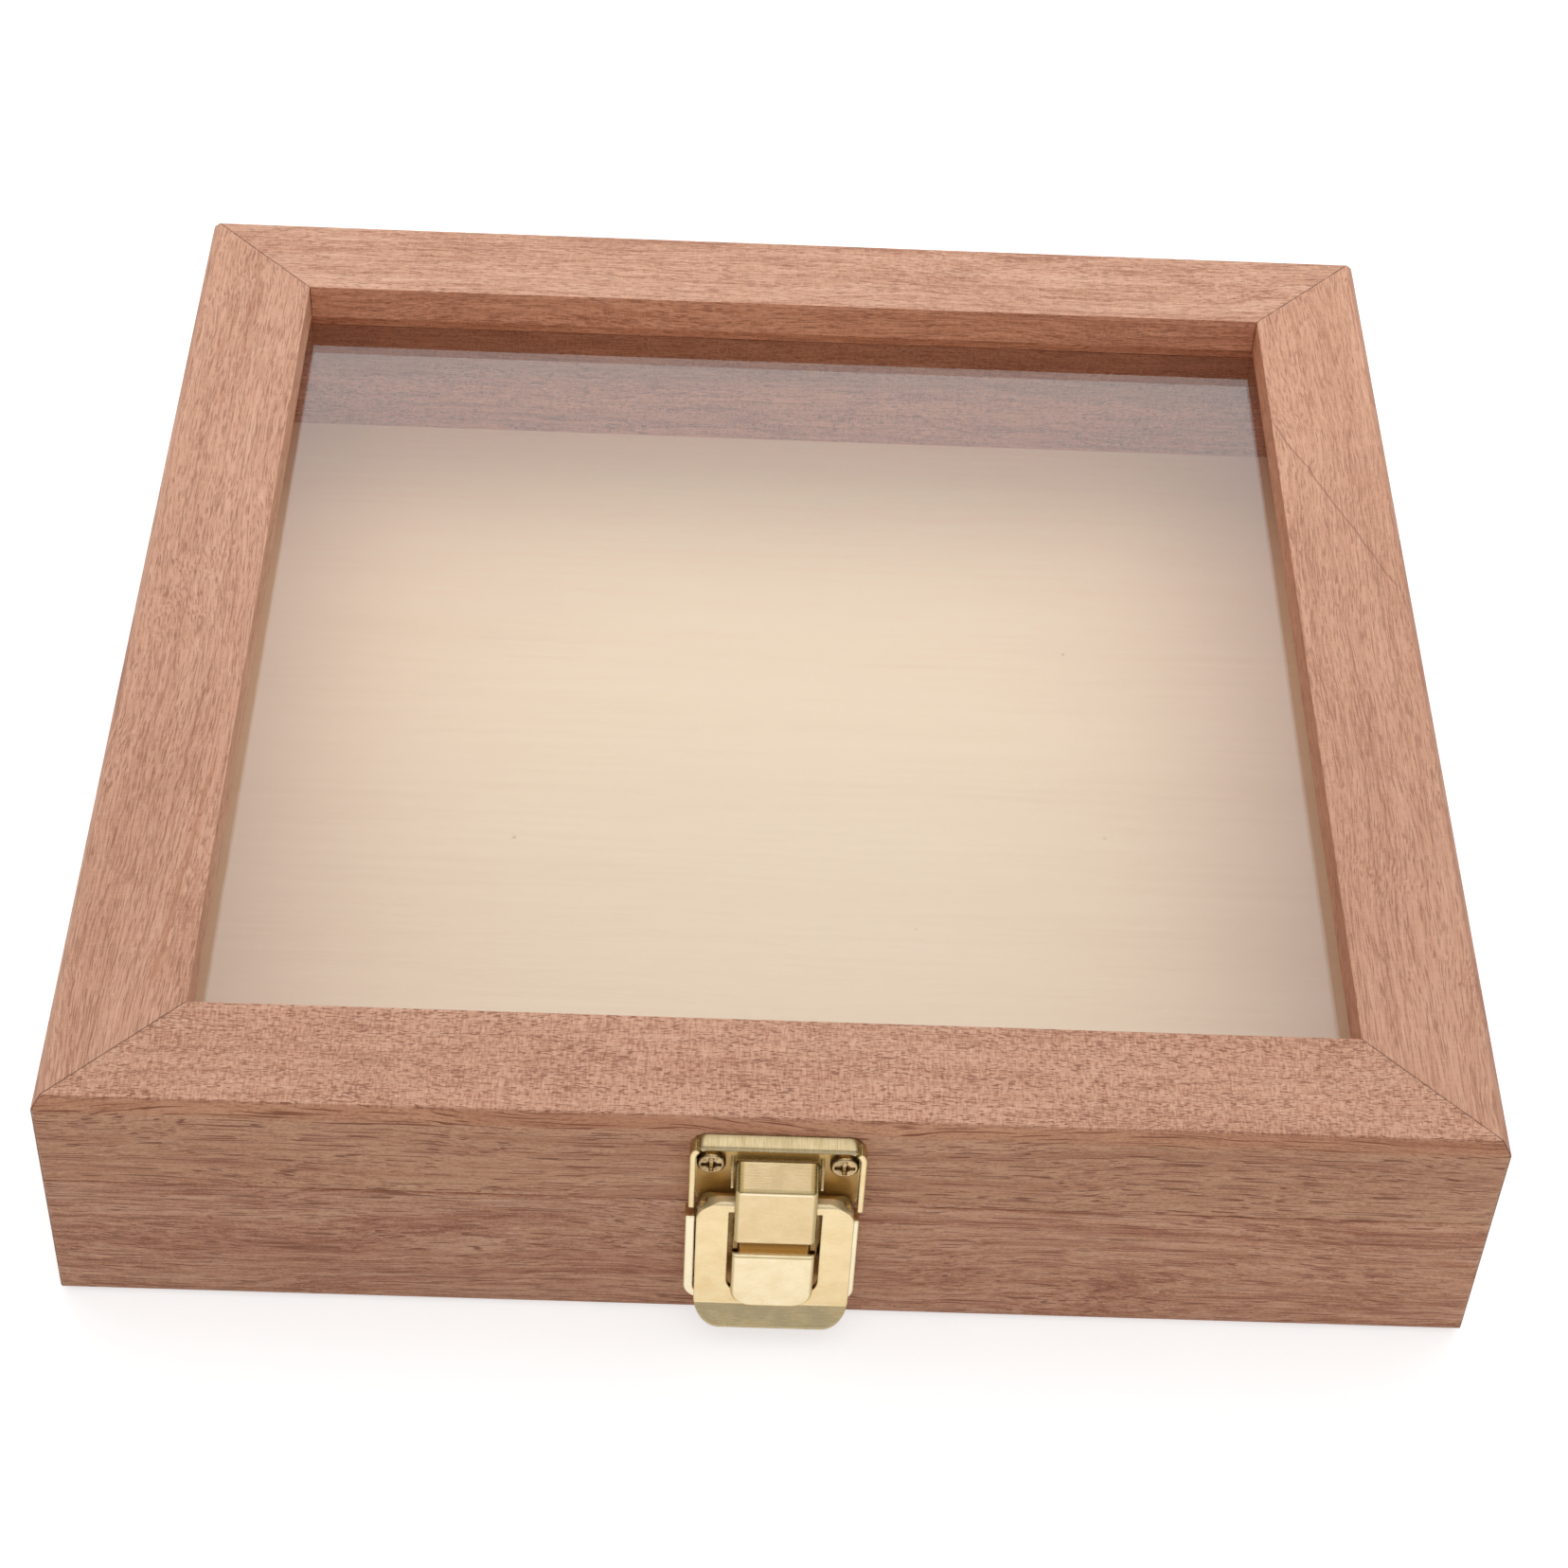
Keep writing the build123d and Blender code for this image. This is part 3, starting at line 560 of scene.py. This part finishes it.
def pores(g, board, looks):
    """Short dark dashes, crowded in some rows, and long ones that upright faces show most."""
    start = g.step(g.noise(board.grain, PORE_ROWS, detail=1.0), *PORE_ROW_NOISE, *PORE_NOISE)
    short = g.noise(board.grain, stretched(SHORT_PORE, looks["reach"]), detail=0.0)
    short = g.step(short, start, g.total(start, PORE_BLUR))
    short = g.product(short, g.scaled(board.upright, SHORT_UPRIGHT, SHORT_FLAT))
    long = g.noise(g.vector("ADD", board.grain, LONG_SHIFT), LONG_PORE, detail=0.0)
    long = g.product(g.step(long, *LONG_NOISE), g.scaled(board.upright, LONG_UPRIGHT, LONG_FLAT))
    return g.math("MAXIMUM", short, long)


def vein_mask(g, board, vein):
    """How much a streak shows, which fades at both ends and wavers along the board."""
    waver = g.layer(g.combine(board.run, 0.0, 0.0), VEIN_WAVER)
    rise = g.product(g.math("SUBTRACT", board.run, vein.start), vein.slope)
    middle = g.total(vein.place, rise, waver)
    core = g.below(g.math("ABSOLUTE", g.math("SUBTRACT", board.side, middle)), 0.0, vein.width)
    fade_in = g.step(board.run, vein.start, vein.start + VEIN_FADE)
    fade_out = g.below(board.run, vein.end - VEIN_FADE, vein.end)
    return g.product(core, fade_in, fade_out, board.flat, vein.strength)


def tint_faces(g, board, colour, looks):
    """The redder bevel, the window's lip and the walls inside, painted shade low inside, and the
    upright outer face.
    """
    bevel = g.product(g.step(board.z, *BEVEL_FOOT), g.below(board.z, *BEVEL_TOP))
    bevel = g.product(bevel, g.step(board.outward, *BEVEL_INSIDE))
    colour = g.tint_where(bevel, colour, looks["bevel"])
    inner = g.math("MAXIMUM", g.below(board.outward, *WINDOW_LIP), g.below(board.z, *LIP_FOOT))
    inner = g.product(inner, g.below(board.outward, *WALL_INSIDE))
    # On some boards the lip tint is painted light, on the back wall it is painted shade
    colour = g.tint_where(inner, colour, looks["lip"])
    # Painted shade low on the inner faces, in the colour of the mitre lines
    dim = g.product(g.between(board.z, *GLOOM_HEIGHTS, GLOOM_BLUR), inner, looks["gloom"])
    colour = g.mix(dim, colour, WOOD_SEAM_AND_SHADE)
    # On the front rail the upright face's tint is partly painted light
    return g.tint_where(board.upright, colour, looks["face"])


def mitre_mask(g, board):
    """How much the thin dark line shows where two pieces meet at the mitre."""
    away = g.math("SUBTRACT", g.math("ABSOLUTE", board.x), g.math("ABSOLUTE", board.y))
    away = g.product(g.math("ABSOLUTE", away), HALF_DIAGONAL)
    width = g.step(g.noise(board.place, SEAM_WEAR, detail=2.0), *SEAM_NOISE, *SEAM_WIDTH)
    return g.product(g.below(away, 0.0, width), SEAM_STRENGTH)


def wood(name, along, seed, own_looks):
    """Reddish open-grained hardwood with its grain along x or y."""
    looks = {**WOOD_LOOKS, **own_looks}
    material, g = new_material(name)
    board = locate_on_board(g, along, seed)
    grain = board.grain

    # Upright faces show edge grain, with slightly stronger streaks than the flat tops
    strength = g.product(g.scaled(board.upright, UPRIGHT_STREAKS, 1.0), looks["streaks"])
    broad = g.layer(grain, WOOD_BROAD)
    band = g.layer(grain, WOOD_BAND, looks["reach"], looks["mottle"])
    line = g.layer(grain, WOOD_LINE, looks["reach"])
    grit = g.layer(grain, WOOD_GRIT, looks["reach"], looks["mottle"])
    cross = g.layer(grain, WOOD_CROSS, strength=looks["ripple"])
    tone = g.scaled(g.total(broad, band, line), strength, 0.5)
    colour = g.ramp(g.total(tone, grit, g.product(cross, board.flat)), WOOD_STOPS)

    dusk = g.step(g.noise(grain, DUSK_SIZE, detail=1.0), *DUSK_NOISE)
    dusk = g.product(dusk, g.scaled(board.upright, DUSK_UPRIGHT, DUSK_FLAT))
    colour = g.tint_where(dusk, colour, WOOD_DUSK)
    pore = pores(g, board, looks)
    colour = g.mix(g.product(pore, looks["dashes"]), colour, WOOD_PORE)
    # Painted light: lighter towards the board's far end on some boards
    colour = g.tint(colour, g.grey(g.step(board.run, *PAINTED_LIGHT_STRETCH, 1.0, looks["far"])))
    for vein in looks["veins"]:
        colour = g.mix(vein_mask(g, board, vein), colour, vein.colour)
    # This tint is painted light on the back rail, painted shade on most glazing beads and painted
    # warm light on the left bead
    colour = g.tint(colour, looks["tint"])
    colour = tint_faces(g, board, colour, looks)
    colour = g.mix(mitre_mask(g, board), colour, WOOD_SEAM_AND_SHADE)

    fibre = g.noise(grain, FIBRE, detail=0.0)
    height = g.math("SUBTRACT", g.total(g.product(fibre, FIBRE_HEIGHT), cross, grit), pore)
    normal = g.bump(height, *WOOD_BUMP)
    roughness = g.step(fibre, *FIBRE_NOISE, *FIBRE_ROUGHNESS)
    g.finish(principled(g, colour, roughness, normal, Specular_IOR_Level=WOOD_SPECULAR))
    return material


def plywood():
    """Pale sanded face veneer with faint grain across and a few dark specks."""
    material, g = new_material("plywood_pale")
    place, x, y, _ = g.millimetres()
    grain = g.vector("ADD", place, g.combine(0.0, g.layer(place, PLYWOOD_BEND), 0.0))
    layers = [g.layer(grain, settings) for settings in (PLYWOOD_BROAD, PLYWOOD_LINE, PLYWOOD_FINE)]
    tone = g.total(0.5, *layers)
    colour = g.ramp(tone, PLYWOOD_STOPS)
    # Painted shade at the front turning to painted light at the back
    colour = g.tint(colour, g.grey(g.step(y, *PLYWOOD_DEPTH, *PLYWOOD_PAINTED_LIGHT)))
    # Painted shade, darker and warmer, towards the sides
    sides = g.step(g.math("ABSOLUTE", x), *PLYWOOD_SIDES)
    colour = g.tint_where(sides, colour, PLYWOOD_SIDE_SHADE)
    for speck_x, speck_y, size in PLYWOOD_SPECKS:
        away = g.measure("DISTANCE", g.combine(x, y, 0.0), (speck_x, speck_y, 0.0))
        spot = g.step(away, size, SPECK_CORE * size, 0.0, SPECK_STRENGTH)
        colour = g.mix(spot, colour, SPECK_COLOUR)
    normal = g.bump(tone, *PLYWOOD_BUMP)
    g.finish(principled(g, colour, PLYWOOD_ROUGHNESS, normal, Specular_IOR_Level=PLYWOOD_SPECULAR))
    return material


def glass():
    """Clear float glass. Rays from lamps and from matt surfaces pass straight through it."""
    material, g = new_material("glass_clear")
    result = principled(g, GLASS_BODY, 0.0, Transmission_Weight=1.0, IOR=GLASS_IOR)
    paths = g.add("ShaderNodeLightPath")
    through = g.add("ShaderNodeBsdfTransparent")
    through.inputs[0].default_value = GLASS_THROUGH
    for kind in ("Is Diffuse Ray", "Is Shadow Ray"):
        mixer = g.add("ShaderNodeMixShader")
        for socket, value in zip(mixer.inputs, (paths.outputs[kind], result, through.outputs[0])):
            g.feed(socket, value)
        result = mixer.outputs[0]
    g.finish(result)
    return material


# Where a shaded point lies on the latch: out of the box's front, aside of the latch's middle,
# and up
LatchPoint = namedtuple("LatchPoint", "place out aside up")


def tray_tone(g, tone, at):
    """The latch's plates: painted shade in recesses and on the strike's streaky top flange, a painted
    rim highlight.
    """
    flange = g.step(at.up, *FLANGE_FOOT)
    painted_recess_shade = g.product(g.below(at.out, *RECESS_OUT), g.inverse(flange), g.below(at.aside, *RECESS_SIDE))
    # Painted highlight on the base plate's rim
    painted_rim = g.product(g.step(at.out, *RIM_OUT), g.below(at.up, *RIM_TOP))
    tone = g.mix(painted_rim, tone, RIM_HIGHLIGHT)
    # Painted shade in the recess, darker low down
    recess = g.mix(g.step(at.up, *RECESS_RISE), RECESS_SHADE_LOW, RECESS_SHADE_HIGH)
    tone = g.mix(painted_recess_shade, tone, recess)
    # Brushing streaks on the top flange, which is darkened as painted shade
    streaks_and_shade = g.step(g.noise(at.place, FLANGE_HAIR, detail=1.0), *FLANGE_NOISE, *FLANGE_STREAKS_AND_SHADE)
    tone = g.tint_where(flange, tone, g.grey(streaks_and_shade))
    return tone, g.scaled(painted_recess_shade, -RECESS_LOSS, 1.0)


def lever_tone(g, tone, at):
    """The lever: painted shade on the roll under the claw, paler on the tongue, a painted highlight
    on its head.
    """
    narrow = g.below(at.aside, *TONGUE_SIDE)
    # Painted shade on the roll under the claw, darker higher up
    painted_recess_shade = g.product(g.between(at.up, *ROLL_HEIGHTS, ROLL_BLUR), g.below(at.out, *ROLL_OUT), narrow)
    tone = g.mix(painted_recess_shade, tone, g.mix(g.step(at.up, *ROLL_RISE), ROLL_SHADE_LOW, ROLL_SHADE_HIGH))
    raised = g.product(g.step(at.out, *TONGUE_OUT), g.below(at.up, *TONGUE_TOP))
    raised = g.product(raised, narrow, g.step(at.up, *TONGUE_FOOT))
    tone = g.tint_where(raised, tone, TONGUE_TINT)
    # Painted shade line just under the tongue's top
    painted_rim = g.product(g.between(at.up, *TONGUE_RIM, TONGUE_RIM_BLUR), narrow, TONGUE_RIM_STRENGTH)
    tone = g.mix(painted_rim, tone, OLIVE_EDGE_AND_SHADE)
    # Painted shade: the tab a little darker
    tone = g.tint_where(g.below(at.up, *TAB_TOP), tone, TAB_SHADE)
    # Painted highlight on the lever's head
    head = g.product(g.step(at.up, *HEAD_FOOT), g.between(at.out, *HEAD_OUT, HEAD_BLUR))
    tone = g.mix(head, tone, HEAD_HIGHLIGHT)
    # Painted shade on the hidden roll behind
    hidden = g.product(g.step(at.up, *HIDDEN_FOOT), g.below(at.out, *HIDDEN_OUT))
    tone = g.mix(hidden, tone, RECESS_SHADE_LOW)
    return tone, g.scaled(g.math("MAXIMUM", head, hidden), -HEAD_LOSS, 1.0)


def claw_tone(g, tone, at):
    """The claw: painted shade on the slope at its tip and in olive bands along its sides."""
    # Painted shade on the slope
    slope = g.step(at.up, CLAW_CREASE - CREASE_BLUR, CLAW_CREASE + CREASE_BLUR)
    tone = g.tint_where(slope, tone, SLOPE_SHADE)
    # Painted shade in bands along the sides, wider on the slope
    beyond = g.math("SUBTRACT", at.aside, g.scaled(slope, BAND_STEP, BAND_START))
    band = g.product(g.step(beyond, *BAND_EDGE), g.scaled(slope, BAND_MORE, BAND_STRENGTH))
    tone = g.mix(band, tone, g.mix(slope, OLIVE_EDGE_AND_SHADE, SLOPE_SIDE_SHADE))
    # Painted shade line above the crease and a painted highlight just below it
    crease_shade = g.product(g.between(at.up, *CREASE_LINE, LINE_BLUR), CREASE_STRENGTH)
    tone = g.mix(crease_shade, tone, OLIVE_EDGE_AND_SHADE)
    glint = g.product(g.between(at.up, *GLINT_LINE, LINE_BLUR), g.below(beyond, *MIDDLE_EDGE))
    tone = g.mix(glint, tone, GLINT_TONE)
    # Painted shade on the claw's foot
    foot_shade = g.product(g.below(at.out, *FOOT_OUT), g.below(at.up, *FOOT_TOP))
    return g.mix(foot_shade, tone, ROLL_SHADE_LOW), g.scaled(foot_shade, -FOOT_LOSS, 1.0)


def metal(name, colour, dark, roughness, edge, edge_colour=OLIVE_EDGE_AND_SHADE, brushed=BRUSHED,
          own_tone=None, clouds=0.35, edge_darkening=0.6):
    """Satin metal with fine brushing, cloudy tarnish, softened darker edges and painted shade on
    faces turned sideways.

    edge is the radius over which the edges are softened. own_tone changes the colour by place
    and says how metallic the surface is there, since a recess of pure metal renders too dark.
    """
    material, g = new_material(name)
    place, x, y, z = g.millimetres()
    brush = g.noise(place, brushed, detail=1.0)
    cloud = g.noise(place, CLOUD, detail=2.0)
    shade = g.total(0.5, g.swing(brush, BRUSH_SWING), g.swing(cloud, clouds))
    tone = g.ramp(shade, tuple(zip(METAL_STOPS, (dark, colour))))
    metallic = 1.0
    if own_tone:
        out = g.math("SUBTRACT", -BOX_HALF, y)
        aside = g.math("ABSOLUTE", g.math("SUBTRACT", x, LATCH_MIDDLE))
        tone, metallic = own_tone(g, tone, LatchPoint(place, out, aside, z))

    soft = g.add("ShaderNodeBevel", samples=BEVEL_SAMPLES)
    soft.inputs["Radius"].default_value = edge
    flat = g.add("ShaderNodeNewGeometry").outputs["Normal"]
    # Darker along every edge, and painted shade on faces turned sideways
    turned = g.step(g.measure("DOT_PRODUCT", flat, soft.outputs[0]), *TURNED_EDGE)
    sideways = g.step(g.math("ABSOLUTE", g.split(soft.outputs[0])[0]), *SIDEWAYS_EDGE)
    dark_edges_and_side_shade = g.product(g.math("MAXIMUM", turned, sideways), edge_darkening)
    tone = g.mix(dark_edges_and_side_shade, tone, edge_colour)

    cloudy = (roughness + change for change in CLOUD_ROUGHNESS)
    rough = g.total(g.step(cloud, *CLOUD_NOISE, *cloudy), g.swing(brush, BRUSH_ROUGHNESS))
    normal = g.bump(brush, *BRUSH_BUMP, soft.outputs[0])
    shader = principled(g, tone, rough, normal)
    g.feed(shader.node.inputs["Metallic"], metallic)
    g.finish(shader)
    return material


def latch_materials():
    """The material of each piece of the latch that has tones of its own."""
    finish = {"roughness": 0.25, "edge": 0.0004}
    tray = metal("brass_tray", BRASS, BRASS_DULL, own_tone=tray_tone, **finish)
    lever = metal("brass_lever", BRASS, BRASS_DULL, own_tone=lever_tone, **finish)
    claw = metal("brass_claw", CLAW_BRASS, CLAW_DULL, own_tone=claw_tone, **finish)
    return {"strike_plate": tray, "latch_base_plate": tray, "latch_lever": lever, "latch_claw": claw}


def slot_materials():
    """The material of every other piece, by its slot in the record."""
    return {
        "brass": metal("brass_hinges", BRASS, BRASS_DULL, roughness=0.3, edge=0.0003),
        "screws": metal("brass_screws", BRONZE, BRONZE_DULL, roughness=0.22, edge=0.00035,
                        edge_colour=BRONZE_EDGE_AND_SHADE, brushed=(0.6, 0.6, 0.6), clouds=0.5, edge_darkening=0.85),
        "steel": metal("steel_wire", STEEL, STEEL_DULL, roughness=0.30, edge=0.0001,
                       edge_colour=STEEL_EDGE_AND_SHADE, brushed=(3.0, 0.15, 0.15)),
        "glass": glass(),
        "plywood": plywood(),
    }


def dress():
    """Gives each piece its material. The pieces themselves stay as they are."""
    by_piece = {name: wood("wood_" + name, *given) for name, given in WOOD_PIECES.items()}
    by_piece.update(latch_materials())
    by_slot = slot_materials()
    for part in frame["record"]["subparts"]:
        node = frame["nodes"][part["node"]]
        material = by_piece.get(part["node"]) or by_slot[part["material_slot"]]
        node.data.materials.clear()
        node.data.materials.append(material)


def add_camera():
    data = bpy.data.cameras.new("camera")
    data.sensor_width = CAMERA_SENSOR
    data.lens = CAMERA_LENS
    data.clip_start = CAMERA_NEAR
    camera = bpy.data.objects.new("camera", data)
    camera.location = CAMERA_PLACE
    camera.rotation_euler = CAMERA_TURN
    scene.collection.objects.link(camera)
    scene.camera = camera


def add_world():
    """White background and plain sky, darker near the horizon and at the sides for gloss."""
    world = bpy.data.worlds.new("studio")
    world.use_nodes = True
    scene.world = world
    g = Graph(world.node_tree)
    sideways, _, up = g.split(g.add("ShaderNodeTexCoord").outputs["Generated"])
    band = g.step(up, HORIZON_SINE, ZENITH_SINE, HORIZON_GLOSS, BACKGROUND_STRENGTH)
    darker = g.step(g.math("ABSOLUTE", sideways), SIDE_START, SIDE_END, 1.0, SIDE_GLOSS)
    paths = g.add("ShaderNodeLightPath").outputs
    straight = g.math("MAXIMUM", paths["Is Camera Ray"], paths["Is Transmission Ray"])
    gloss = g.product(paths["Is Glossy Ray"], g.inverse(straight))
    matt = g.inverse(g.math("MAXIMUM", straight, gloss))
    strength = g.total(g.product(straight, BACKGROUND_STRENGTH), g.product(gloss, band, darker),
                       g.product(matt, SKY_STRENGTH))
    sky = g.add("ShaderNodeBackground")
    g.feed(sky.inputs["Strength"], strength)
    sky.inputs["Color"].default_value = (*WHITE, 1.0)
    g.finish(sky.outputs[0], "ShaderNodeOutputWorld")


def add_softboxes():
    """Square lamps that face the middle of the box's base."""
    for name, box in SOFTBOXES.items():
        lamp = bpy.data.lights.new("softbox_" + name, "AREA")
        lamp.shape = "SQUARE"
        lamp.size = box["size"]
        lamp.energy = box["power"]
        softbox = bpy.data.objects.new("softbox_" + name, lamp)
        softbox.location = box["place"]
        softbox.rotation_euler = (-softbox.location).to_track_quat("-Z", "Y").to_euler()
        scene.collection.objects.link(softbox)


def floor_material():
    """Matt white that glows where it is seen directly, in gloss or through glass."""
    material, g = new_material("floor_white")
    paths = g.add("ShaderNodeLightPath").outputs
    seen = g.math("MAXIMUM", paths["Is Camera Ray"], paths["Is Glossy Ray"])
    seen = g.math("MAXIMUM", seen, paths["Is Transmission Ray"])
    matt = g.add("ShaderNodeBsdfDiffuse")
    matt.inputs["Color"].default_value = (FLOOR_ALBEDO, FLOOR_ALBEDO, FLOOR_ALBEDO, 1.0)
    glow = g.add("ShaderNodeEmission")
    g.feed(glow.inputs["Strength"], g.product(seen, FLOOR_GLOW))
    both = g.add("ShaderNodeAddShader")
    g.feed(both.inputs[0], matt.outputs[0])
    g.feed(both.inputs[1], glow.outputs[0])
    g.finish(both.outputs[0])
    return material


def add_floor():
    half = FLOOR_SIZE / 2
    mesh = bpy.data.meshes.new("floor")
    corners = [(-half, -half, 0), (half, -half, 0), (half, half, 0), (-half, half, 0)]
    mesh.from_pydata(corners, [], [(0, 1, 2, 3)])
    floor = bpy.data.objects.new("floor", mesh)
    floor.location.z = -FLOOR_DROP
    scene.collection.objects.link(floor)
    mesh.materials.append(floor_material())


dress()
add_camera()
add_world()
add_softboxes()
add_floor()
scene.view_settings.view_transform = "Standard"
